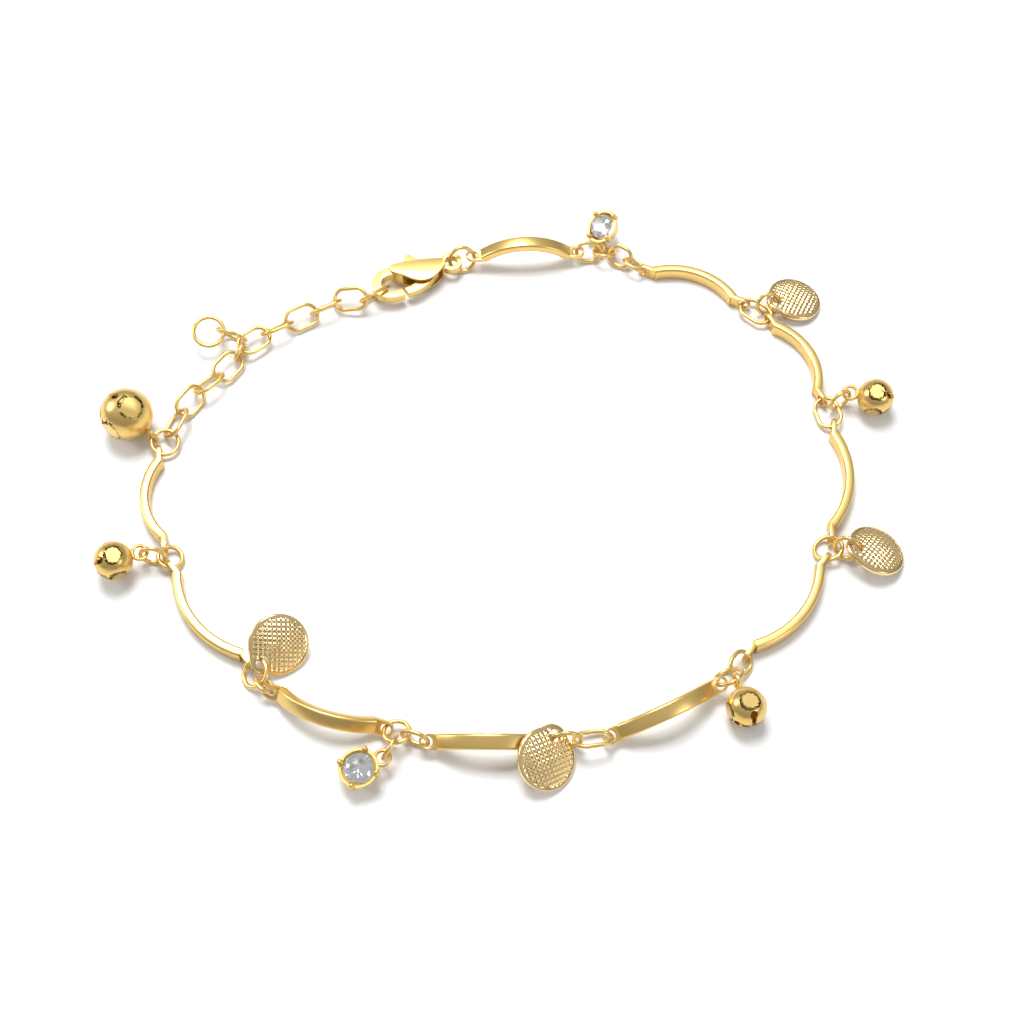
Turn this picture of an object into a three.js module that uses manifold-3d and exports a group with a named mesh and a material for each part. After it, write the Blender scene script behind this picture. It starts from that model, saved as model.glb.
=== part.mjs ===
// A charm anklet lying on a table: ten bowed bars joined by links, four hammered discs,
// four bells, two set stones, an extender chain and a lobster clasp with a sprung lever.
// Units are millimetres, +Z is up, and the table is the plane z = 0.

import * as THREE from 'three';
import { mergeVertices } from 'three/addons/utils/BufferGeometryUtils.js';
import Module from 'manifold-3d';

const wasm = await Module();
wasm.setup();

// ---- Driving dimensions ----

const GAP = 0.22; // air between two linked wires
const WIRE = 0.5; // wire of the rings and links
const WIRE_SIDES = 6;
const RING_STEPS = 12; // segments round a ring

const RINGS = {
  // outer length and width, mm
  link: { length: 4.52, width: 3.1 },
  short_link: { length: 3.4, width: 2.8 },
  small_link: { length: 2.7, width: 2.4 },
  charm_ring: { length: 3.2, width: 3.2 },
  ring: { length: 3.6, width: 3.6 },
  end_ring: { length: 4.1, width: 4.1 },
};

const BAR_SPANS = { bar: 13.2, long_bar: 15.4 }; // hole to hole
const SHOULDER_REACH = 1.35; // hole to the shoulder of the body
const BAR_BOW = 1.9; // how far the middle stands off the line of the holes
const BAR_WIDTH = 1.7;
const BAR_THICK = 1.1;
const BAR_STEPS = 6;
const TAB_THICK = 0.45;
const HOLE = 1.25; // drilled hole in a tab
const HOLE_SIDES = 10;
const HOLE_SLACK = 0.12; // how far a wire lies off the middle of a hole, away from its rim

const DISC_RADIUS = 3.3;
const DISC_THICK = 0.4;
const DISC_DOME = 0.5; // rise of the middle
const DISC_REACH = 2.55; // hole to the middle of the disc
const DISC_TIP = 0.5; // how far the rounded tip stands off the circle
const DISC_HOLE = 1.4;

const BELL_RADIUS = 2.15;
const BIG_BELL_RADIUS = 3.05;
const BELL_WALL = 0.35;
const BELL_SLOT = 0.5;
const LOOP_RADIUS = 0.8; // middle of the wire of a soldered loop
const LOOP_WIRE = 0.42;

const STONE_RADIUS = 1.7;
const STONE_HEIGHT = 1.9;
const CUP_RADIUS = 2.15;
const CUP_HEIGHT = 1.7;
const CUP_FOOT = 1.45;
const PRONG_RADIUS = 0.3;

const CLASP_HEIGHT = 1.4; // middle plane of the clasp above the table
const CLASP_THICK = 2.2;
const HOOK_THICK = 1.15;
const LEVER_THICK = 1.0;
const LEVER_PLAY = 0.25; // air between the lever and the body
const PIN_RADIUS = 0.4;
const EYE_HOLE = 0.85;
const EYE_RADIUS = 1.35;
const EYE_THICK = 1.0;

const GOLD = new THREE.MeshStandardMaterial({ color: 0xe8be5c, roughness: 0.2, metalness: 1 });
const CRYSTAL = new THREE.MeshStandardMaterial({ color: 0xf6f7f8, roughness: 0.03, metalness: 0 });

// ---- Joins and cuts ----

function weld(geometry) {
  const bare = geometry.clone();
  for (const name of Object.keys(bare.attributes)) {
    if (name !== 'position') bare.deleteAttribute(name);
  }
  return mergeVertices(bare, 1e-4);
}

function solid(geometry) {
  const welded = weld(geometry);
  return new wasm.Manifold(
    new wasm.Mesh({
      numProp: 3,
      vertProperties: new Float32Array(welded.attributes.position.array),
      triVerts: new Uint32Array(welded.index.array),
    }),
  );
}

function geometryOf(manifold) {
  const mesh = manifold.getMesh();
  const geometry = new THREE.BufferGeometry();
  geometry.setAttribute('position', new THREE.BufferAttribute(mesh.vertProperties, 3));
  geometry.setIndex(new THREE.BufferAttribute(mesh.triVerts, 1));
  geometry.computeVertexNormals();
  return geometry;
}

function joined(solids) {
  return solids.reduce((sum, next) => sum.add(next));
}

// ---- Rings and links ----

// An endless wire in the XY plane, from its near end at the origin along +X.
function wireLoop(length, width, wire = WIRE, steps = RING_STEPS) {
  const bend = (width - wire) / 2;
  const stretch = (length - width) / 2;
  const loop = new THREE.TorusGeometry(bend, wire / 2, WIRE_SIDES, steps);
  loop.rotateZ(Math.PI / steps);
  const points = loop.attributes.position;
  for (let i = 0; i < points.count; i += 1) {
    const x = points.getX(i);
    points.setX(i, x + Math.sign(x) * stretch + bend + stretch);
  }
  return loop;
}

function ringKind({ length, width }) {
  const bend = (width - WIRE) / 2;
  const stretch = (length - width) / 2;
  return {
    wire: WIRE,
    geometry: () => wireLoop(length, width),
    // The middle of the wire, at an angle round the ring from its far end.
    point(degrees) {
      const turn = THREE.MathUtils.degToRad(degrees);
      const x = Math.cos(turn) * bend + bend + stretch;
      const side = Math.abs(Math.cos(turn)) < 1e-6 ? 0 : Math.sign(Math.cos(turn));
      return new THREE.Vector3(x + side * stretch, Math.sin(turn) * bend, 0);
    },
  };
}

// ---- Bars ----

class BowCurve extends THREE.Curve {
  constructor(span) {
    super();
    this.span = span;
  }

  getPoint(t) {
    const half = this.span / 2 - SHOULDER_REACH;
    const radius = (half * half + BAR_BOW * BAR_BOW) / (2 * BAR_BOW);
    const swing = Math.asin(half / radius) * (2 * t - 1);
    const drop = radius - BAR_BOW;
    return new THREE.Vector3(
      this.span / 2 + radius * Math.sin(swing),
      radius * Math.cos(swing) - drop,
      0,
    );
  }
}

function roundedBox(width, height, corner) {
  const shape = new THREE.Shape();
  const x = width / 2;
  const y = height / 2;
  shape.moveTo(-x + corner, -y);
  shape.lineTo(x - corner, -y);
  shape.lineTo(x, -y + corner);
  shape.lineTo(x, y - corner);
  shape.lineTo(x - corner, y);
  shape.lineTo(-x + corner, y);
  shape.lineTo(-x, y - corner);
  shape.lineTo(-x, -y + corner);
  shape.closePath();
  return shape;
}

// A flat drilled end: a strip with a round end about the origin.
function tab() {
  const radius = BAR_WIDTH / 2;
  const root = SHOULDER_REACH + 0.75;
  const shape = new THREE.Shape();
  shape.moveTo(root, radius);
  shape.lineTo(0, radius);
  shape.absarc(0, 0, radius, Math.PI / 2, Math.PI * 1.5, false);
  shape.lineTo(root, -radius);
  shape.closePath();
  const hole = new THREE.Path();
  hole.absarc(0, 0, HOLE / 2, 0, Math.PI * 2, true);
  shape.holes.push(hole);
  const plate = new THREE.ExtrudeGeometry(shape, {
    depth: TAB_THICK,
    bevelEnabled: false,
    curveSegments: HOLE_SIDES / 2,
  });
  return plate.translate(0, 0, -TAB_THICK / 2).rotateX(Math.PI / 2);
}

function barGeometry(span) {
  const body = new THREE.ExtrudeGeometry(roundedBox(BAR_WIDTH, BAR_THICK, 0.25), {
    steps: BAR_STEPS,
    bevelEnabled: false,
    extrudePath: new BowCurve(span),
  });
  const near = tab();
  const far = tab().rotateZ(Math.PI).translate(span, 0, 0);
  return geometryOf(joined([solid(body), solid(near), solid(far)]));
}

// ---- Discs ----

// A shallow dish drawn out to a rounded tip, where it is drilled at the origin.
function discGeometry() {
  const rise = (share) => DISC_DOME * (1 - share * share);
  const shares = [0, 0.55, 1];
  const under = shares.map((share) => [share * DISC_RADIUS, rise(share)]);
  const upper = [...under].reverse().map(([r, z]) => [r, z + DISC_THICK]);
  const profile = [...under, ...upper].map(([r, z]) => new THREE.Vector2(r, z));
  const dish = new THREE.LatheGeometry(profile, 18).rotateX(Math.PI / 2);
  const points = dish.attributes.position;
  for (let i = 0; i < points.count; i += 1) {
    const [x, y] = [points.getX(i), points.getY(i)];
    const away = Math.abs(Math.atan2(y, -x));
    const draw = 1 + (DISC_TIP / DISC_RADIUS) * Math.exp(-((away / 0.4) ** 2));
    points.setX(i, x * draw);
    points.setY(i, y * draw);
  }
  const atHole = rise(DISC_REACH / (DISC_RADIUS + DISC_TIP)) + DISC_THICK / 2;
  dish.translate(DISC_REACH, 0, -atHole);
  const drill = new THREE.CylinderGeometry(DISC_HOLE / 2, DISC_HOLE / 2, 4, HOLE_SIDES);
  return geometryOf(solid(dish).subtract(solid(drill.rotateX(Math.PI / 2))));
}

// ---- Bells ----

// A soldered loop: its near wire is at the origin and its plane is XY.
function charmLoop() {
  const width = 2 * LOOP_RADIUS + LOOP_WIRE;
  return wireLoop(width, width, LOOP_WIRE, 10);
}

function bellMiddle(radius) {
  return 2 * LOOP_RADIUS + LOOP_WIRE / 2 + radius - 0.2;
}

function bellGeometry(radius) {
  const outside = solid(new THREE.SphereGeometry(radius, 14, 8).rotateZ(Math.PI / 2));
  const inside = solid(new THREE.SphereGeometry(radius - BELL_WALL, 8, 5).rotateZ(Math.PI / 2));
  const slot = new THREE.BoxGeometry(radius, BELL_SLOT, radius * 1.5);
  const cross = new THREE.BoxGeometry(radius, radius * 1.5, BELL_SLOT);
  slot.translate(radius * 0.85, 0, 0);
  cross.translate(radius * 0.85, 0, 0);
  let shell = outside.subtract(inside).subtract(solid(slot)).subtract(solid(cross));
  const side = radius * 0.9;
  for (const turn of [0, 1, 2, 3]) {
    const plane = new THREE.BoxGeometry(radius * 2, radius, radius * 2);
    plane.translate(0, side + radius / 2, 0);
    plane.rotateX((turn * Math.PI) / 2);
    shell = shell.subtract(solid(plane));
  }
  return geometryOf(shell.translate([bellMiddle(radius), 0, 0]).add(solid(charmLoop())));
}

// ---- Settings and stones ----

const CUP_MIDDLE = 2 * LOOP_RADIUS + LOOP_WIRE / 2 + CUP_RADIUS - 0.55;

function settingGeometry() {
  const wall = 0.3;
  const profile = [
    [CUP_FOOT - wall, -CUP_HEIGHT / 2],
    [CUP_FOOT, -CUP_HEIGHT / 2],
    [CUP_RADIUS, CUP_HEIGHT / 2],
    [CUP_RADIUS - wall, CUP_HEIGHT / 2],
    [CUP_FOOT - wall, -CUP_HEIGHT / 2],
  ].map(([r, z]) => new THREE.Vector2(r, z));
  const cup = new THREE.LatheGeometry(profile, 16).rotateX(Math.PI / 2);
  const parts = [solid(cup)];
  for (let i = 0; i < 4; i += 1) {
    const prong = new THREE.CylinderGeometry(PRONG_RADIUS, PRONG_RADIUS, 1.1, 6);
    prong.rotateX(Math.PI / 2).translate(CUP_RADIUS - 0.05, 0, CUP_HEIGHT / 2 + 0.05);
    prong.rotateZ(((i + 0.5) * Math.PI) / 2);
    parts.push(solid(prong));
  }
  const cupAndProngs = joined(parts).translate([CUP_MIDDLE, 0, 0]);
  return geometryOf(cupAndProngs.add(solid(charmLoop())));
}

function stoneGeometry() {
  const r = STONE_RADIUS - 0.12;
  const profile = [
    [0, -STONE_HEIGHT * 0.5],
    [r, 0.25],
    [r, 0.35],
    [r * 0.6, STONE_HEIGHT * 0.42],
    [0, STONE_HEIGHT * 0.42],
  ].map(([x, z]) => new THREE.Vector2(x, z));
  const stone = new THREE.LatheGeometry(profile, 16).rotateX(Math.PI / 2);
  return weld(stone.translate(CUP_MIDDLE, 0, CUP_HEIGHT / 2 - 0.2));
}

// ---- Clasp: eye at the origin, nose along -X ----

function splineShape(points) {
  const shape = new THREE.Shape();
  shape.moveTo(points[0][0], points[0][1]);
  shape.splineThru(points.slice(1).map(([x, y]) => new THREE.Vector2(x, y)));
  shape.closePath();
  return shape;
}

function slab(shape, thick, segments) {
  const plate = new THREE.ExtrudeGeometry(shape, {
    depth: thick,
    bevelEnabled: false,
    curveSegments: segments,
  });
  return plate.translate(0, 0, -thick / 2);
}

const PIVOT = [-2.9, -0.35];
const HOOK_HOLD = [-8.6, -0.25]; // where a link's wire lies inside the hook
const SHOULDER = [
  [-1.0, 0.45],
  [-2.6, 1.05],
  [-4.6, 1.65],
  [-6.6, 1.95],
  [-7.6, 1.9],
  [-7.4, 0.9],
  [-6.4, 0.0],
  [-5.6, -1.0],
  [-4.6, -1.75],
  [-3.2, -1.75],
  [-2.0, -1.2],
  [-1.0, -0.45],
];
const HOOK_OUTER = [
  [-6.0, 1.9],
  [-7.6, 2.1],
  [-9.2, 1.85],
  [-10.4, 0.8],
  [-10.6, -0.6],
  [-9.8, -1.9],
  [-8.5, -2.5],
  [-7.25, -2.6],
];
const HOOK_INNER = [
  [-7.25, -1.6],
  [-8.4, -1.55],
  [-9.2, -1.1],
  [-9.45, -0.2],
  [-9.1, 0.65],
  [-8.2, 1.05],
  [-7.0, 0.9],
];

function eye() {
  const band = new THREE.CylinderGeometry(EYE_RADIUS, EYE_RADIUS, EYE_THICK, 16);
  return solid(band.rotateX(Math.PI / 2));
}

// The room that the lever needs: its outline at both ends of its swing, and the play round it.
function leverRoom() {
  const room = new THREE.Shape();
  room.moveTo(-7.0, -3.2);
  room.lineTo(-7.0, -0.1);
  room.lineTo(-4.4, 0.95);
  room.lineTo(-1.75, 0.6);
  room.lineTo(-1.5, -0.6);
  room.lineTo(-1.5, -3.2);
  room.closePath();
  const channel = new THREE.Shape();
  channel.moveTo(-5.5, 3);
  channel.lineTo(-4.3, 0);
  channel.lineTo(-2.1, 0);
  channel.lineTo(-2.3, 3);
  channel.closePath();
  const height = LEVER_THICK + 2 * LEVER_PLAY;
  return solid(slab(room, height, 1)).add(solid(slab(channel, height, 1)));
}

function claspBodyGeometry() {
  const shoulder = solid(slab(splineShape(SHOULDER), CLASP_THICK, 2));
  const hookShape = new THREE.Shape();
  hookShape.moveTo(...HOOK_OUTER[0]);
  hookShape.splineThru(HOOK_OUTER.slice(1).map(([x, y]) => new THREE.Vector2(x, y)));
  hookShape.lineTo(...HOOK_INNER[0]);
  hookShape.splineThru(HOOK_INNER.slice(1).map(([x, y]) => new THREE.Vector2(x, y)));
  hookShape.closePath();
  const hook = solid(slab(hookShape, HOOK_THICK, 2));
  const eyeHole = new THREE.CylinderGeometry(EYE_HOLE, EYE_HOLE, 3, 14).rotateX(Math.PI / 2);
  const pin = new THREE.CylinderGeometry(PIN_RADIUS, PIN_RADIUS, CLASP_THICK, 10);
  pin.rotateX(Math.PI / 2).translate(PIVOT[0], PIVOT[1], 0);
  const body = joined([shoulder, hook, eye()]).subtract(solid(eyeHole)).subtract(leverRoom());
  return geometryOf(body.add(solid(pin)));
}

function leverGeometry() {
  const boss = new THREE.CylinderGeometry(1.0, 1.0, LEVER_THICK, 14).rotateX(Math.PI / 2);
  boss.translate(PIVOT[0], PIVOT[1], 0);
  const gate = new THREE.Shape();
  gate.moveTo(-2.6, -1.3);
  gate.splineThru([
    new THREE.Vector2(-3.8, -2.05),
    new THREE.Vector2(-5.4, -2.55),
    new THREE.Vector2(-6.74, -2.52),
  ]);
  gate.lineTo(-6.95, -1.7);
  gate.splineThru([new THREE.Vector2(-5.4, -1.4), new THREE.Vector2(-3.4, -0.2)]);
  gate.closePath();
  const arm = new THREE.Shape();
  arm.moveTo(-3.75, -0.4);
  arm.lineTo(-5.25, 2.5);
  arm.absarc(-4.75, 2.65, 0.5, Math.PI * 1.1, Math.PI * 0.1, true);
  arm.lineTo(-2.5, 0.2);
  arm.closePath();
  const bore = new THREE.CylinderGeometry(PIN_RADIUS + 0.22, PIN_RADIUS + 0.22, 3, 12);
  bore.rotateX(Math.PI / 2).translate(PIVOT[0], PIVOT[1], 0);
  const lever = joined([solid(boss), solid(slab(gate, LEVER_THICK, 3)), solid(slab(arm, LEVER_THICK, 3))]);
  return geometryOf(lever.subtract(solid(bore)));
}

// ---- Kinds of piece: how each is made, where the next one takes hold ----

const along = (distance) => () => new THREE.Vector3(distance, 0, 0);
const KINDS = {
  disc: { wire: 0, geometry: discGeometry, point: along(DISC_REACH + DISC_RADIUS) },
  bell: { wire: LOOP_WIRE, geometry: () => bellGeometry(BELL_RADIUS), point: along(bellMiddle(BELL_RADIUS)) },
  big_bell: {
    wire: LOOP_WIRE,
    geometry: () => bellGeometry(BIG_BELL_RADIUS),
    point: along(bellMiddle(BIG_BELL_RADIUS)),
  },
  setting: { wire: LOOP_WIRE, geometry: settingGeometry, point: along(CUP_MIDDLE) },
};
for (const [name, size] of Object.entries(RINGS)) KINDS[name] = ringKind(size);
for (const [name, span] of Object.entries(BAR_SPANS)) {
  KINDS[name] = { wire: 0, geometry: () => barGeometry(span), point: along(span) };
}

// The chain, clockwise from the clasp's eye. heading is the way that a piece runs on the table,
// roll turns it about that way (a bar's bow points out at 0 and up at 90), height is where its
// far end lies above the table, and at is where it holds the piece before (0 is the far end).
const CHAIN = [
  { name: 'clasp_ring', kind: 'ring', heading: 18, roll: 60, height: 1.8 },
  { name: 'bar_1', kind: 'bar', heading: 4, roll: 90, height: 1.4 },
  { name: 'link_1a', kind: 'short_link', heading: 4, roll: 55, height: 1.2 },
  { name: 'ring_1', kind: 'charm_ring', heading: -10, roll: -31, height: 1.3 },
  { name: 'link_1b', kind: 'short_link', heading: -33, roll: 45, height: 1.1 },
  { name: 'link_1c', kind: 'short_link', heading: -32, roll: -32, height: 0.85 },
  { name: 'bar_2', kind: 'bar', heading: -24, roll: 0, height: 0.85 },
  { name: 'link_2', kind: 'link', heading: -40, roll: 3, height: 0.85 },
  { name: 'bar_3', kind: 'bar', heading: -66, roll: 0, height: 0.85 },
  { name: 'link_3', kind: 'link', heading: -76, roll: 17, height: 0.85 },
  { name: 'bar_4', kind: 'long_bar', heading: -97, roll: 0, height: 0.85 },
  { name: 'ring_4', kind: 'ring', heading: -108, roll: 19, height: 0.85 },
  { name: 'bar_5', kind: 'long_bar', heading: -129, roll: 0, height: 0.85 },
  { name: 'link_5', kind: 'short_link', heading: -128, roll: -33, height: 1.2 },
  { name: 'ring_5', kind: 'ring', heading: -136, roll: 44, height: 1.65 },
  { name: 'bar_6', kind: 'bar', heading: -154, roll: 65, height: 1.2 },
  { name: 'link_6', kind: 'link', heading: -170, roll: 34, height: 1.5 },
  { name: 'ring_6', kind: 'ring', heading: 180, roll: 95, height: 2.35 },
  { name: 'bar_7', kind: 'bar', at: -35, heading: 180, roll: 68, height: 1.5 },
  { name: 'link_7', kind: 'short_link', heading: 160, roll: 95, height: 1.5 },
  { name: 'ring_7', kind: 'charm_ring', heading: 160, roll: 11, height: 1.3 },
  { name: 'bar_8', kind: 'bar', heading: 161, roll: 40, height: 1.3 },
  { name: 'link_8', kind: 'small_link', heading: 132, roll: 44, height: 1.2 },
  { name: 'ring_8', kind: 'ring', heading: 122, roll: -32, height: 0.95 },
  { name: 'bar_9', kind: 'long_bar', heading: 129, roll: 0, height: 0.85, at: 4 },
  { name: 'link_9', kind: 'charm_ring', heading: 100, roll: 17, height: 0.85 },
  { name: 'bar_10', kind: 'bar', heading: 99, roll: 0, height: 0.85, at: 25 },
  { name: 'ring_10', kind: 'ring', heading: 68, roll: 10, height: 1.1 },
];

const meshes = new Map();

function towards(heading, pitch) {
  const turn = THREE.MathUtils.degToRad(heading);
  const rise = THREE.MathUtils.degToRad(pitch);
  return new THREE.Vector3(
    Math.cos(turn) * Math.cos(rise),
    Math.sin(turn) * Math.cos(rise),
    Math.sin(rise),
  );
}

function put(name, geometry, start, heading, pitch, roll, material = GOLD) {
  const mesh = new THREE.Mesh(geometry, material);
  mesh.name = name;
  mesh.position.copy(start);
  const rad = THREE.MathUtils.degToRad;
  mesh.rotation.set(rad(roll), rad(-pitch), rad(heading), 'ZYX');
  mesh.updateMatrixWorld();
  meshes.set(name, mesh);
  return mesh;
}

const made = new Map();
function geometryFor(kind) {
  if (!made.has(kind)) made.set(kind, KINDS[kind].geometry());
  return made.get(kind);
}

const kindOf = new Map();

// Where a piece holds, in the world, at an angle round it.
function holdOn(name, at = 0) {
  const point = KINDS[kindOf.get(name)].point(at);
  return point.applyMatrix4(meshes.get(name).matrixWorld);
}

// How far a wire reaches back past the wire that it is linked with.
function overlap(hostKind, kind) {
  const a = KINDS[hostKind]?.wire;
  const b = KINDS[kind].wire;
  return a && b ? (a + b) / 2 + GAP : HOLE_SLACK;
}

function hang(row, hold, hostKind) {
  const { name, kind, heading, roll, height } = row;
  let pitch = row.pitch ?? 0;
  const back = overlap(hostKind, kind);
  if (height !== undefined) {
    const span = KINDS[kind].point(0).x;
    pitch = THREE.MathUtils.radToDeg(Math.asin((height - hold.z) / (span - back)));
  }
  const start = hold.clone().addScaledVector(towards(heading, pitch), -back);
  kindOf.set(name, kind);
  return put(name, geometryFor(kind), start, heading, pitch, roll);
}

// ---- The clasp ----

const CLASP_HEADING = 24;
const EYE = new THREE.Vector3(-8.6, 35.6, CLASP_HEIGHT);
put('clasp_body', claspBodyGeometry(), EYE, CLASP_HEADING, 0, 0);
put('clasp_lever', leverGeometry(), EYE, CLASP_HEADING, 0, 0);

// ---- The chain of bars ----

function walk(rows, firstHold, firstHost) {
  let hold = firstHold;
  let host = firstHost;
  rows.forEach((row, i) => {
    if (i > 0 && row.at !== undefined) hold = holdOn(rows[i - 1].name, row.at);
    hang(row, hold, host);
    hold = holdOn(row.name);
    host = row.kind;
  });
  return hold;
}

walk(CHAIN, EYE, null);

// ---- The extender ----

const EXTENDER = [
  { name: 'extender_1', kind: 'link', heading: 70, roll: -40, height: 1.2 },
  { name: 'extender_2', kind: 'link', heading: 57, roll: 50, height: 1.35 },
  { name: 'extender_3', kind: 'link', heading: 49, roll: -35, height: 1.1 },
  { name: 'extender_4', kind: 'link', heading: 55, roll: 25, height: 1.2 },
  { name: 'extender_5', kind: 'small_link', heading: 62, roll: 100, height: 1.4 },
  { name: 'extender_6', kind: 'link', heading: 40, roll: 15, height: 1.3 },
  { name: 'extender_7', kind: 'link', heading: 30, roll: -45, height: 1.2 },
  { name: 'extender_8', kind: 'link', heading: 30, roll: 35, height: 1.2 },
  { name: 'extender_9', kind: 'link', heading: 30, roll: -51, height: 1.3 },
];
const LAST_LINKS = [
  { name: 'extender_10', kind: 'link', roll: 30, height: 1.8 },
  { name: 'extender_11', kind: 'link', roll: 120, height: 1.15 },
];

// The last two links bend just enough to end inside the clasp's hook.
function reachHook(from) {
  const target = new THREE.Vector3(HOOK_HOLD[0], HOOK_HOLD[1], 0);
  target.applyMatrix4(meshes.get('clasp_body').matrixWorld);
  const reach = KINDS.link.point(0).x - overlap('link', 'link');
  const aim = target.clone().sub(from);
  const heading = THREE.MathUtils.radToDeg(Math.atan2(aim.y, aim.x));
  const fold = THREE.MathUtils.radToDeg(Math.acos(Math.hypot(aim.x, aim.y) / (2 * reach)));
  LAST_LINKS[0].heading = heading - fold;
  LAST_LINKS[1].heading = heading + fold;
  walk(LAST_LINKS, from, 'link');
}

reachHook(walk(EXTENDER, holdOn('ring_10'), 'ring'));

// ---- Charms, each on the piece that holds it ----

const CHARMS = [
  { name: 'setting_1', kind: 'setting', host: 'ring_1', at: 128, heading: 70, pitch: 28, roll: -28 },
  { name: 'disc_ring_1', kind: 'charm_ring', host: 'link_2', at: 89, heading: 80, pitch: 68, roll: 26 },
  { name: 'disc_1', kind: 'disc', host: 'disc_ring_1', at: -79, heading: 20, height: 0.5, roll: -1 },
  { name: 'bell_ring_1', kind: 'charm_ring', host: 'link_3', at: 91, heading: 33, pitch: 30, roll: 86 },
  { name: 'bell_1', kind: 'bell', host: 'bell_ring_1', at: 0, heading: -14, height: 2.35, roll: 16 },
  { name: 'disc_ring_2', kind: 'charm_ring', host: 'ring_4', at: 90, heading: -5, pitch: 38, roll: 60 },
  { name: 'disc_2', kind: 'disc', host: 'disc_ring_2', at: -16, heading: 8, height: 0.5, roll: -6 },
  { name: 'bell_2', kind: 'bell', host: 'ring_5', at: 77, heading: -74, height: 2.2, roll: 87 },
  { name: 'disc_3', kind: 'disc', host: 'ring_6', at: 12, heading: -107, height: 1.6, roll: -31 },
  { name: 'setting_ring_2', kind: 'charm_ring', host: 'ring_7', at: 96, heading: -117, pitch: 5, roll: 75 },
  { name: 'setting_2', kind: 'setting', host: 'setting_ring_2', at: 0, heading: -153, height: 1.5, roll: -4 },
  { name: 'disc_4', kind: 'disc', host: 'ring_8', at: -82, heading: 48, height: 3.1, roll: 36 },
  { name: 'bell_ring_3', kind: 'charm_ring', host: 'link_9', at: 90, heading: 175, pitch: 29, roll: -85 },
  { name: 'bell_3', kind: 'bell', host: 'bell_ring_3', at: 0, heading: -156, height: 2.55, roll: -14 },
  { name: 'big_bell', kind: 'big_bell', host: 'ring_10', at: 90, heading: 146, height: 3.05, roll: 90 },
  { name: 'tail_link', kind: 'end_ring', host: 'extender_6', at: 113, heading: 163, pitch: 11, roll: 64 },
  { name: 'tail_ring', kind: 'end_ring', host: 'tail_link', at: 0, heading: 198, pitch: 0, roll: -20 },
];
for (const row of CHARMS) hang(row, holdOn(row.host, row.at), kindOf.get(row.host));

for (const side of [1, 2]) {
  const setting = meshes.get(`setting_${side}`);
  const stone = new THREE.Mesh(stoneGeometry(), CRYSTAL);
  stone.name = `stone_${side}`;
  stone.position.copy(setting.position);
  stone.rotation.copy(setting.rotation);
  meshes.set(stone.name, stone);
}

// The origin is under the middle of the whole, on the table.
const anklet = new THREE.Group();
for (const mesh of meshes.values()) anklet.add(mesh);
anklet.updateMatrixWorld(true);
const middle = new THREE.Box3().setFromObject(anklet, true).getCenter(new THREE.Vector3());
anklet.position.set(-middle.x, -middle.y, 0);

export default anklet;
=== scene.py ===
import math

import bpy
import numpy as np
from mathutils import Matrix, Vector


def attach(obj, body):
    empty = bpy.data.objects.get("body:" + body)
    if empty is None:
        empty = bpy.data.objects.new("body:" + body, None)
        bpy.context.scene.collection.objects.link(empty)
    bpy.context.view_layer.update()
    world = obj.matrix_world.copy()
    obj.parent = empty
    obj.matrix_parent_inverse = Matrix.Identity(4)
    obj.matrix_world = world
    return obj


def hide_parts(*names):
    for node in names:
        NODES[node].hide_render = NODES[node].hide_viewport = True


bl_info = {
    "name": "Charm anklet",
    "version": (1, 0, 0),
    "blender": (4, 5, 0),
    "location": "3D View > Sidebar > Anklet",
    "description": "Builds the polished pieces of a charm anklet over its CAD frame",
    "category": "Object",
}

MM = 0.001
RING_SIZES = {  # outer length and width, mm
    "link": (4.52, 3.1),
    "short": (3.4, 2.8),
    "small": (2.7, 2.4),
    "charm": (3.2, 3.2),
    "ring": (3.6, 3.6),
    "end": (4.1, 4.1),
}
RING_NODES = {
    "link": ["link_2", "link_3", "link_6"] + [f"extender_{i}" for i in (1, 2, 3, 4, 6, 7, 8, 9, 10, 11)],
    "short": ["link_1a", "link_1b", "link_1c", "link_5", "link_7"],
    "small": ["link_8", "extender_5"],
    "charm": ["ring_1", "ring_7", "link_9", "disc_ring_1", "disc_ring_2", "bell_ring_1", "bell_ring_3",
              "setting_ring_2"],
    "ring": ["clasp_ring", "ring_4", "ring_5", "ring_6", "ring_8", "ring_10"],
    "end": ["tail_link", "tail_ring"],
}
SPANS = {1: 13.2, 2: 13.2, 3: 13.2, 4: 15.4, 5: 15.4, 6: 13.2, 7: 13.2, 8: 13.2, 9: 15.4, 10: 13.2}
SHOULDER, BOW, WIDTH, THICK = 1.35, 1.9, 1.7, 1.1
DISC_R, DISC_THICK, DOME, REACH, TIP = 3.3, 0.4, 0.5, 2.55, 0.5
HAMMER_PITCH = 0.5  # mm between two rows of blows
LOOP_R, LOOP_WIRE = 0.8, 0.42
BELLS = {"bell_1": 2.15, "bell_2": 2.15, "bell_3": 2.15, "big_bell": 3.05}
CUP_R, CUP_H, CUP_FOOT = 2.15, 1.7, 1.45
CUP_MIDDLE = 2 * LOOP_R + LOOP_WIRE / 2 + CUP_R - 0.55


# ---- Reading the frame ----


def surface(node):
    """Triangle middles, areas and normals, and the vertices, of a CAD node in mm."""
    mesh = NODES[node].data
    points = np.array([v.co[:] for v in mesh.vertices]) / MM
    mesh.calc_loop_triangles()
    tris = np.array([t.vertices[:] for t in mesh.loop_triangles])
    a, b, c = points[tris[:, 0]], points[tris[:, 1]], points[tris[:, 2]]
    cross = np.cross(b - a, c - a)
    areas = np.linalg.norm(cross, axis=1) / 2
    keep = areas > 1e-9
    return (a + b + c)[keep] / 3, areas[keep], cross[keep] / (2 * areas[keep])[:, None], points


def spread(middles, areas):
    """The area's centre and its principal axes, the longest first."""
    centre = (middles * areas[:, None]).sum(0) / areas.sum()
    d = middles - centre
    values, vectors = np.linalg.eigh((d * areas[:, None]).T @ d)
    return centre, vectors[:, ::-1].T


def unit(v):
    return v / np.linalg.norm(v)


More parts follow.
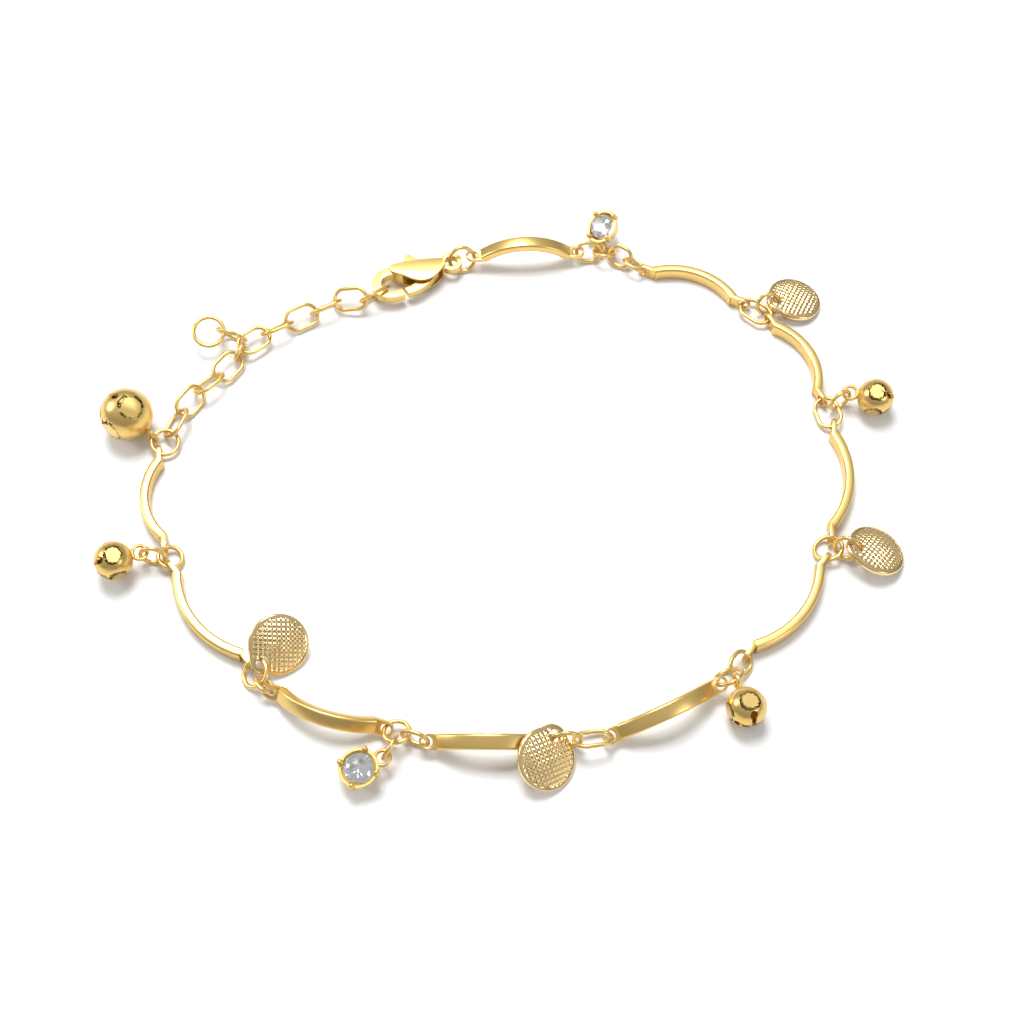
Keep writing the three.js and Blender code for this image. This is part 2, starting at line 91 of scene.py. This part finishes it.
def placing(origin, x, z):
    """The matrix that takes a piece from its own axes, in metres, to its place."""
    x = unit(x)
    z = unit(z - x * np.dot(z, x))
    y = np.cross(z, x)
    m = Matrix.Identity(4)
    for i in range(3):
        m[i][0], m[i][1], m[i][2], m[i][3] = x[i], y[i], z[i], origin[i] * MM
    return m


def reach(points, origin, axis):
    t = (points - origin) @ axis
    return t.min(), t.max()


def ring_place(node):
    middles, areas, _, points = surface(node)
    centre, (x, _, z) = spread(middles, areas)
    return placing(centre, x, z)


def bar_place(node, span):
    middles, areas, _, points = surface(node)
    centre, (x, _, _) = spread(middles, areas)
    low, high = reach(points, centre, x)
    middle = centre + x * (low + high) / 2
    t = (points - middle) @ x
    core = points[np.abs(t) < span * 0.3].mean(0)
    ends = (points[t > t.max() - 0.5].mean(0) + points[t < t.min() + 0.5].mean(0)) / 2
    bow = core - ends
    bow = unit(bow - x * np.dot(bow, x))
    origin = ends + x * np.dot(middle - ends, x) - x * span / 2
    return placing(origin, x, np.cross(x, bow))


def disc_place(node):
    middles, areas, normals, points = surface(node)
    centre, axes = spread(middles, areas)
    axis = axes[2]
    rim = np.linalg.norm(points - centre, axis=1) > 2.6
    core = ~rim
    if np.dot(points[core].mean(0) - points[rim].mean(0), axis) < 0:
        axis = -axis
    up = normals @ axis > 0.5
    z = unit((normals[up] * areas[up][:, None]).sum(0))
    far = points[np.argmax(np.linalg.norm(points - centre, axis=1))] - centre
    x = max(axes[:2], key=lambda a: abs(np.dot(a, far)))
    x = x if np.dot(x, far) < 0 else -x
    x = unit(x - z * np.dot(x, z))
    y = np.cross(z, x)
    right = reach(points, centre, x)[1] - DISC_R * 0.985
    sides = reach(points, centre, y)
    floor = reach(points, centre, z)[0]
    at_hole = DOME * (1 - (REACH / (DISC_R + TIP)) ** 2) + DISC_THICK / 2
    origin = centre + x * (right - REACH) + y * (sides[0] + sides[1]) / 2 + z * (floor + at_hole)
    return placing(origin, x, z)


def bell_place(node):
    middles, areas, _, points = surface(node)
    centre, (x, _, _) = spread(middles, areas)
    low, high = reach(points, centre, x)
    if -low < high:
        x, low = -x, -high
    near = (middles - centre) @ x < low + 1.1
    _, loop = spread(middles[near], areas[near])
    return placing(centre + x * (low + LOOP_WIRE / 2), x, loop[2])


def setting_place(node, stone):
    middles, areas, _, points = surface(stone)
    centre, axes = spread(middles, areas)
    z = axes[2]
    low, high = reach(points, centre, z)
    if -low < high:
        z, low, high = -z, -high, -low
    cup, cup_areas, _, _ = surface(node)
    out = (cup * cup_areas[:, None]).sum(0) / cup_areas.sum() - centre
    x = -unit(out - z * np.dot(out, z))
    top = CUP_H / 2 - 0.2 + 1.9 * 0.42
    return placing(centre + z * (high - top) - x * CUP_MIDDLE, x, z)


# ---- Modelling tools ----


def alone(obj):
    bpy.ops.object.select_all(action="DESELECT")
    obj.select_set(True)
    bpy.context.view_layer.objects.active = obj


def edit(obj, kind="VERT"):
    alone(obj)
    bpy.ops.object.mode_set(mode="EDIT")
    bpy.ops.mesh.select_mode(type=kind)


def done():
    bpy.ops.object.mode_set(mode="OBJECT")
    return bpy.context.active_object


def tidy_faces():
    bpy.ops.mesh.select_all(action="SELECT")
    bpy.ops.mesh.remove_doubles(threshold=2e-7)
    bpy.ops.mesh.normals_make_consistent(inside=False)


def lathe(profile, steps):
    """Spins a profile of (radius, height) in mm about Z."""
    bpy.ops.mesh.primitive_plane_add(size=0.0005)
    obj = bpy.context.active_object
    edit(obj)
    bpy.ops.mesh.select_all(action="SELECT")
    bpy.ops.mesh.merge(type="CENTER")
    last = Vector((profile[0][0], 0, profile[0][1])) * MM
    bpy.ops.transform.translate(value=last)
    for r, z in profile[1:]:
        here = Vector((r, 0, z)) * MM
        bpy.ops.mesh.extrude_region_move(TRANSFORM_OT_translate={"value": here - last})
        last = here
    bpy.ops.mesh.select_all(action="SELECT")
    bpy.ops.mesh.spin(steps=steps, angle=math.tau, center=(0, 0, 0), axis=(0, 0, 1))
    tidy_faces()
    return done()


def wire_ring(length, width, wire):
    """A round wire bent to an oval whose near end is at -length/2."""
    bend, stretch = (width - wire) / 2, (length - width) / 2
    bpy.ops.mesh.primitive_torus_add(
        major_radius=bend * MM, minor_radius=wire / 2 * MM, major_segments=50, minor_segments=14
    )
    obj = bpy.context.active_object
    for side in (1, -1):
        edit(obj)
        bpy.ops.mesh.select_all(action="DESELECT")
        bpy.ops.object.mode_set(mode="OBJECT")
        for v in obj.data.vertices:
            v.select = v.co.x * side > 1e-6
        bpy.ops.object.mode_set(mode="EDIT")
        bpy.ops.transform.translate(value=(side * stretch * MM, 0, 0))
        done()
    edit(obj)
    tidy_faces()
    return done()


def apply_modifier(obj, kind, **settings):
    alone(obj)
    mod = obj.modifiers.new(kind.title(), kind)
    for key, value in settings.items():
        setattr(mod, key, value)
    bpy.ops.object.modifier_apply(modifier=mod.name)


def cut(obj, cutter, how="DIFFERENCE"):
    apply_modifier(obj, "BOOLEAN", operation=how, object=cutter, solver="EXACT")
    bpy.data.objects.remove(cutter)


def join(parts):
    bpy.ops.object.select_all(action="DESELECT")
    for part in parts:
        part.select_set(True)
    bpy.context.view_layer.objects.active = parts[0]
    bpy.ops.object.join()
    return bpy.context.active_object


def shift(obj, x=0.0, y=0.0, z=0.0):
    obj.data.transform(Matrix.Translation(Vector((x, y, z)) * MM))
    return obj


def turn(obj, degrees, axis):
    obj.data.transform(Matrix.Rotation(math.radians(degrees), 4, axis))
    return obj


def smooth(obj, degrees=35):
    alone(obj)
    bpy.ops.object.shade_smooth_by_angle(angle=math.radians(degrees))


def settle(obj, name, matrix, node, material):
    """Copies a modelled piece, with its own mesh, into a node's place."""
    mesh = obj.data.copy()
    mesh.transform(matrix)
    piece = bpy.data.objects.new(name, mesh)
    bpy.context.collection.objects.link(piece)
    mesh.materials.clear()
    mesh.materials.append(bpy.data.materials[material])
    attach(piece, "root")
    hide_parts(node)
    return piece


# ---- Materials ----


def gold(name, roughness, bump):
    mat = bpy.data.materials.new(name)
    mat.use_nodes = True
    tree = mat.node_tree
    shader = tree.nodes["Principled BSDF"]
    shader.inputs["Base Color"].default_value = (0.92, 0.69, 0.34, 1)
    shader.inputs["Metallic"].default_value = 1.0
    coords = tree.nodes.new("ShaderNodeTexCoord")
    noise = tree.nodes.new("ShaderNodeTexNoise")
    noise.inputs["Scale"].default_value = 900
    noise.inputs["Detail"].default_value = 6
    spread_ = tree.nodes.new("ShaderNodeMapRange")
    spread_.inputs["To Min"].default_value = roughness * 0.7
    spread_.inputs["To Max"].default_value = roughness * 1.5
    relief = tree.nodes.new("ShaderNodeBump")
    relief.inputs["Strength"].default_value = bump
    relief.inputs["Distance"].default_value = 0.00002
    tree.links.new(coords.outputs["Object"], noise.inputs["Vector"])
    tree.links.new(noise.outputs["Fac"], spread_.inputs["Value"])
    tree.links.new(spread_.outputs["Result"], shader.inputs["Roughness"])
    tree.links.new(noise.outputs["Fac"], relief.inputs["Height"])
    tree.links.new(relief.outputs["Normal"], shader.inputs["Normal"])
    return mat


def crystal():
    mat = bpy.data.materials.new("crystal")
    mat.use_nodes = True
    tree = mat.node_tree
    shader = tree.nodes["Principled BSDF"]
    shader.inputs["Base Color"].default_value = (0.97, 0.98, 1.0, 1)
    shader.inputs["Transmission Weight"].default_value = 0.9
    shader.inputs["IOR"].default_value = 2.1
    coords = tree.nodes.new("ShaderNodeTexCoord")
    noise = tree.nodes.new("ShaderNodeTexNoise")
    noise.inputs["Scale"].default_value = 700
    spread_ = tree.nodes.new("ShaderNodeMapRange")
    spread_.inputs["To Min"].default_value = 0.0
    spread_.inputs["To Max"].default_value = 0.03
    tree.links.new(coords.outputs["Object"], noise.inputs["Vector"])
    tree.links.new(noise.outputs["Fac"], spread_.inputs["Value"])
    tree.links.new(spread_.outputs["Result"], shader.inputs["Roughness"])
    return mat


# ---- Pieces ----


def bar_piece(span):
    half = span / 2 - SHOULDER
    radius = (half * half + BOW * BOW) / (2 * BOW)
    swing = math.asin(half / radius)
    middle = (span / 2 * MM, (BOW - radius) * MM, 0)
    bpy.ops.mesh.primitive_plane_add(size=1)
    body = bpy.context.active_object
    edit(body)
    bpy.ops.mesh.select_all(action="SELECT")
    bpy.ops.transform.resize(value=(THICK * MM, WIDTH * MM, 1))
    bpy.ops.mesh.bevel(offset=0.3 * MM, segments=5, affect="VERTICES")
    done()
    turn(body, 90, "X")
    shift(body, x=radius)
    turn(body, 90 + math.degrees(swing), "Z")
    shift(body, x=span / 2, y=BOW - radius)
    edit(body, "FACE")
    bpy.ops.mesh.select_all(action="SELECT")
    bpy.ops.mesh.spin(steps=30, angle=2 * swing, center=middle, axis=(0, 0, 1))
    tidy_faces()
    done()
    parts = [body]
    for far in (False, True):
        bpy.ops.mesh.primitive_cylinder_add(vertices=40, radius=WIDTH / 2 * MM, depth=0.5 * MM)
        tab = bpy.context.active_object
        edit(tab, "FACE")
        bpy.ops.mesh.select_all(action="DESELECT")
        done()
        for face in tab.data.polygons:
            face.select = abs(face.normal.z) > 0.9
        bpy.ops.object.mode_set(mode="EDIT")
        bpy.ops.mesh.inset(thickness=0.24 * MM)
        bpy.ops.mesh.bridge_edge_loops()
        bpy.ops.mesh.select_all(action="DESELECT")
        done()
        for v in tab.data.vertices:
            v.select = v.co.x > 1e-6 and v.co.xy.length > 0.8 * MM
        edit(tab)
        bpy.ops.transform.translate(value=(1.25 * MM, 0, 0))
        tidy_faces()
        done()
        apply_modifier(tab, "BEVEL", width=0.07 * MM, segments=2, limit_method="ANGLE", angle_limit=0.9)
        turn(tab, 90, "X")
        if far:
            turn(tab, 180, "Z")
            shift(tab, x=span)
        parts.append(tab)
    bar = join(parts)
    smooth(bar)
    return bar


def disc_piece():
    def rise(r):
        return DOME * (1 - (r / DISC_R) ** 2)

    steps = 44
    radii = [DISC_R * i / steps for i in range(steps + 1)]
    rim = [(DISC_R, 0.1), (DISC_R, DISC_THICK - 0.08), (DISC_R - 0.08, rise(DISC_R - 0.08) + DISC_THICK)]
    under = [(r, rise(r)) for r in radii[::4]]
    over = [(r, rise(r) + DISC_THICK) for r in reversed(radii[:-1]) if r < DISC_R - 0.1]
    disc = lathe(under + rim + over, 150)
    group = disc.vertex_groups.new(name="hammered")
    top = [v.index for v in disc.data.vertices
           if v.co.z > (rise(v.co.xy.length / MM) + 0.2) * MM and v.co.xy.length < (DISC_R - 0.42) * MM]
    group.add(top, 1.0, "REPLACE")
    blows = bpy.data.textures.new("hammer_rows", "WOOD")
    blows.wood_type = "BANDNOISE"
    blows.noise_basis_2 = "SIN"
    blows.noise_scale = 0.9
    blows.turbulence = 1.2
    pitch = HAMMER_PITCH * MM * 10 / math.tau
    for angle in (38, -48):
        grid = bpy.data.objects.new("hammer_grid", None)
        bpy.context.collection.objects.link(grid)
        grid.rotation_euler = (0, 0, math.radians(angle))
        grid.scale = (pitch, 0.02, 1)
        bpy.context.view_layer.update()
        apply_modifier(disc, "DISPLACE", texture=blows, texture_coords="OBJECT", texture_coords_object=grid,
                       strength=0.09 * MM, mid_level=0.5, direction="Z", vertex_group="hammered")
        bpy.data.objects.remove(grid)
    edit(disc)
    bpy.ops.mesh.select_all(action="DESELECT")
    done()
    for v in disc.data.vertices:
        v.select = v.co.x < -(DISC_R - 0.03) * MM
    edit(disc)
    bpy.ops.transform.translate(value=(-TIP * 0.9 * MM, 0, 0), use_proportional_edit=True,
                                proportional_edit_falloff="SMOOTH", proportional_size=1.5 * MM)
    done()
    at_hole = DOME * (1 - (REACH / (DISC_R + TIP)) ** 2) + DISC_THICK / 2
    shift(disc, x=REACH, z=-at_hole)
    bpy.ops.mesh.primitive_cylinder_add(vertices=36, radius=0.68 * MM, depth=3 * MM)
    drill = bpy.context.active_object
    edit(drill)
    bpy.ops.mesh.select_all(action="SELECT")
    bpy.ops.transform.resize(value=(1, 1, 1.2))
    done()
    cut(disc, drill)
    smooth(disc, 50)
    return disc


def loop_piece():
    width = 2 * LOOP_R + LOOP_WIRE
    return shift(wire_ring(width, width, LOOP_WIRE), x=LOOP_R)


def bell_piece(radius):
    arc = [math.pi * i / 40 for i in range(41)]
    bell = lathe([(radius * math.sin(a), radius * math.cos(a)) for a in arc], 64)
    facet = radius * 0.9
    for side in range(4):
        a = side * math.pi / 2
        normal = Vector((math.cos(a), math.sin(a), 0))
        edit(bell)
        bpy.ops.mesh.select_all(action="SELECT")
        bpy.ops.mesh.bisect(plane_co=normal * facet * MM, plane_no=normal, use_fill=True, clear_outer=True)
        bpy.ops.mesh.select_all(action="SELECT")
        bpy.ops.mesh.remove_doubles(threshold=0.05 * MM)
        done()
    hollow = radius - 0.35
    inside = lathe([(hollow * math.sin(a), hollow * math.cos(a)) for a in arc[::2]], 40)
    cut(bell, inside)
    for across in (0, 90):
        bpy.ops.mesh.primitive_cylinder_add(vertices=24, radius=0.25 * MM, depth=radius * MM)
        slot = bpy.context.active_object
        for v in slot.data.vertices:
            v.co.x += math.copysign(radius * 0.62 * MM, v.co.x) if abs(v.co.x) > 1e-7 else 0.0
        shift(slot, z=radius * 0.85)
        turn(slot, across, "Z")
        cut(bell, slot)
        for side in (-1, 1):
            bpy.ops.mesh.primitive_cylinder_add(vertices=24, radius=0.42 * MM, depth=radius * MM)
            hole = bpy.context.active_object
            shift(hole, x=side * radius * 0.66, z=radius * 0.9)
            turn(hole, across, "Z")
            cut(bell, hole)
    turn(bell, 90, "Y")
    shift(bell, x=2 * LOOP_R + LOOP_WIRE / 2 + radius - 0.2)
    bell = join([bell, loop_piece()])
    smooth(bell, 18)
    return bell


def setting_piece():
    wall, h = 0.3, CUP_H / 2
    cup = lathe([(CUP_FOOT - wall, -h), (CUP_FOOT - 0.06, -h), (CUP_FOOT, -h + 0.08), (1.85, 0.15),
                 (CUP_R, h - 0.08), (CUP_R - 0.06, h), (CUP_R - wall, h), (1.5, 0),
                 (CUP_FOOT - wall, -h)], 64)
    parts = [cup]
    for i in range(4):
        bpy.ops.mesh.primitive_uv_sphere_add(segments=20, ring_count=12, radius=0.33 * MM)
        bead = bpy.context.active_object
        for v in bead.data.vertices:
            if v.co.z < 0:
                v.co.z -= 0.6 * MM
        shift(bead, x=CUP_R - 0.12, z=h + 0.25)
        turn(bead, 45 + 90 * i, "Z")
        parts.append(bead)
    cup = shift(join(parts), x=CUP_MIDDLE)
    setting = join([cup, loop_piece()])
    smooth(setting, 50)
    return setting


def stone_piece():
    r = 1.57
    profile = [(0, -0.94), (r * 0.55, -0.3), (r, 0.24), (r, 0.33), (r * 0.8, 0.6), (r * 0.55, 0.78),
               (0, 0.78)]
    return shift(lathe(profile, 16), x=CUP_MIDDLE, z=CUP_H / 2 - 0.2)


# ---- The add-on ----


class AnkletSettings(bpy.types.PropertyGroup):
    wire: bpy.props.FloatProperty(
        name="Wire", description="Thickness of the ring wire in mm", default=0.48, min=0.2, max=1.0
    )
    polish: bpy.props.FloatProperty(
        name="Polish", description="Roughness of the polished gold", default=0.13, min=0.0, max=1.0,
        subtype="FACTOR",
    )


class Builder:
    bl_options = {"REGISTER", "UNDO"}

    def execute(self, context):
        self.build(context.scene.anklet)
        return {"FINISHED"}


class ANKLET_OT_materials(Builder, bpy.types.Operator):
    """Make the gold and the crystal"""

    bl_idname = "anklet.materials"
    bl_label = "Materials"

    def build(self, settings):
        gold("gold", settings.polish, 0.12)
        gold("hammered gold", settings.polish * 1.4, 0.3)
        crystal()


class ANKLET_OT_rings(Builder, bpy.types.Operator):
    """Build every ring and link"""

    bl_idname = "anklet.rings"
    bl_label = "Rings and links"

    def build(self, settings):
        for kind, nodes in RING_NODES.items():
            length, width = RING_SIZES[kind]
            model = wire_ring(length, width, settings.wire)
            smooth(model, 60)
            for node in nodes:
                settle(model, f"{node}_wire", ring_place(node), node, "gold")
            bpy.data.objects.remove(model)


class ANKLET_OT_bars(Builder, bpy.types.Operator):
    """Build the bowed bars"""

    bl_idname = "anklet.bars"
    bl_label = "Bars"

    def build(self, settings):
        models = {span: bar_piece(span) for span in sorted(set(SPANS.values()))}
        for i, span in SPANS.items():
            node = f"bar_{i}"
            settle(models[span], f"{node}_polished", bar_place(node, span), node, "gold")
        for model in models.values():
            bpy.data.objects.remove(model)


class ANKLET_OT_discs(Builder, bpy.types.Operator):
    """Build the hammered discs"""

    bl_idname = "anklet.discs"
    bl_label = "Discs"

    def build(self, settings):
        model = disc_piece()
        for i in (1, 2, 3, 4):
            node = f"disc_{i}"
            settle(model, f"{node}_hammered", disc_place(node), node, "hammered gold")
        bpy.data.objects.remove(model)


class ANKLET_OT_bells(Builder, bpy.types.Operator):
    """Build the slotted bells"""

    bl_idname = "anklet.bells"
    bl_label = "Bells"

    def build(self, settings):
        models = {radius: bell_piece(radius) for radius in sorted(set(BELLS.values()))}
        for node, radius in BELLS.items():
            settle(models[radius], f"{node}_shell", bell_place(node), node, "gold")
        for model in models.values():
            bpy.data.objects.remove(model)


class ANKLET_OT_settings(Builder, bpy.types.Operator):
    """Build the cups, prongs and stones"""

    bl_idname = "anklet.settings"
    bl_label = "Settings and stones"

    def build(self, settings):
        cup, stone = setting_piece(), stone_piece()
        for i in (1, 2):
            place = setting_place(f"setting_{i}", f"stone_{i}")
            settle(cup, f"cup_{i}", place, f"setting_{i}", "gold")
            settle(stone, f"brilliant_{i}", place, f"stone_{i}", "crystal")
        for model in (cup, stone):
            bpy.data.objects.remove(model)


class ANKLET_OT_clasp(Builder, bpy.types.Operator):
    """Round and polish the clasp"""

    bl_idname = "anklet.clasp"
    bl_label = "Clasp"

    def build(self, settings):
        for node in ("clasp_body", "clasp_lever"):
            obj = NODES[node]
            weld = obj.modifiers.new("Weld", "WELD")
            weld.merge_threshold = 1e-6
            rounding = obj.modifiers.new("Rounding", "BEVEL")
            rounding.width = (0.34 if node == "clasp_body" else 0.22) * MM
            rounding.segments = 5
            rounding.limit_method = "ANGLE"
            rounding.angle_limit = math.radians(50)
            obj.data.materials.clear()
            obj.data.materials.append(bpy.data.materials["gold"])
            smooth(obj, 60)


class ANKLET_OT_stage(Builder, bpy.types.Operator):
    """Add the pale table, the lights and the camera"""

    bl_idname = "anklet.stage"
    bl_label = "Stage"

    def build(self, settings):
        bpy.ops.mesh.primitive_plane_add(size=3)
        floor = bpy.context.active_object
        floor.name = "table"
        shift(floor, z=-0.03)
        mat = bpy.data.materials.new("table")
        mat.use_nodes = True
        mat.node_tree.nodes["Principled BSDF"].inputs["Base Color"].default_value = (0.9, 0.9, 0.9, 1)
        mat.node_tree.nodes["Principled BSDF"].inputs["Roughness"].default_value = 0.6
        floor.data.materials.append(mat)
        for name, place, size, power in (
            ("overhead", (-0.05, 0.2, 0.45), 0.22, 2.1),
            ("left", (-0.45, 0.1, 0.25), 0.2, 0.7),
            ("right", (0.4, -0.25, 0.3), 0.16, 0.45),
        ):
            light = bpy.data.lights.new(name, "AREA")
            light.size = size
            light.energy = power
            lamp = bpy.data.objects.new(name, light)
            lamp.location = place
            lamp.rotation_euler = (-Vector(place)).to_track_quat("-Z", "Y").to_euler()
            bpy.context.collection.objects.link(lamp)
        world = bpy.context.scene.world or bpy.data.worlds.new("world")
        bpy.context.scene.world = world
        world.use_nodes = True
        tree = world.node_tree
        coords = tree.nodes.new("ShaderNodeTexCoord")
        split = tree.nodes.new("ShaderNodeSeparateXYZ")
        ramp = tree.nodes.new("ShaderNodeValToRGB")
        ramp.color_ramp.elements[0].color = (0.3, 0.29, 0.28, 1)
        ramp.color_ramp.elements[1].color = (0.85, 0.86, 0.88, 1)
        ramp.color_ramp.elements[1].position = 0.8
        tree.links.new(coords.outputs["Generated"], split.inputs["Vector"])
        tree.links.new(split.outputs["Z"], ramp.inputs["Fac"])
        tree.links.new(ramp.outputs["Color"], tree.nodes["Background"].inputs["Color"])
        tree.nodes["Background"].inputs["Strength"].default_value = 0.6
        bpy.context.scene.view_settings.view_transform = "Standard"
        data = bpy.data.cameras.new("camera")
        data.sensor_width = 36
        data.lens = 56.25
        data.clip_start = 0.01
        camera = bpy.data.objects.new("camera", data)
        aim = Vector((1.5, -4.2, 0)) * MM
        lift = math.radians(59)
        camera.location = aim + Vector((0, -math.cos(lift), math.sin(lift))) * 183.2 * MM
        camera.rotation_euler = (math.radians(90 - 59), 0, 0)
        bpy.context.collection.objects.link(camera)
        bpy.context.scene.camera = camera


class ANKLET_PT_panel(bpy.types.Panel):
    bl_idname = "ANKLET_PT_panel"
    bl_label = "Charm anklet"
    bl_space_type = "VIEW_3D"
    bl_region_type = "UI"
    bl_category = "Anklet"

    def draw(self, context):
        self.layout.prop(context.scene.anklet, "wire")
        self.layout.prop(context.scene.anklet, "polish")
        for step in STEPS:
            self.layout.operator(step.bl_idname)


STEPS = (
    ANKLET_OT_materials,
    ANKLET_OT_rings,
    ANKLET_OT_bars,
    ANKLET_OT_discs,
    ANKLET_OT_bells,
    ANKLET_OT_settings,
    ANKLET_OT_clasp,
    ANKLET_OT_stage,
)
CLASSES = (AnkletSettings,) + STEPS + (ANKLET_PT_panel,)


def register():
    for cls in CLASSES:
        bpy.utils.register_class(cls)
    bpy.types.Scene.anklet = bpy.props.PointerProperty(type=AnkletSettings)


def unregister():
    del bpy.types.Scene.anklet
    for cls in reversed(CLASSES):
        bpy.utils.unregister_class(cls)


def main():
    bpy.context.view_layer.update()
    register()
    bpy.ops.anklet.materials()
    bpy.ops.anklet.rings()
    bpy.ops.anklet.bars()
    bpy.ops.anklet.discs()
    bpy.ops.anklet.bells()
    bpy.ops.anklet.settings()
    bpy.ops.anklet.clasp()
    bpy.ops.anklet.stage()


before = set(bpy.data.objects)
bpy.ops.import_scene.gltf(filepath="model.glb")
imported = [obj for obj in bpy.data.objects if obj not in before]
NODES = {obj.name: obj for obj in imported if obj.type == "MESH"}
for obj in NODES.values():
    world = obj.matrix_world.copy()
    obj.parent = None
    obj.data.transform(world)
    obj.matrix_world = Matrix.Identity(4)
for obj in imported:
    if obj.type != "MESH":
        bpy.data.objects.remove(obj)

if __name__ == "__main__":
    main()
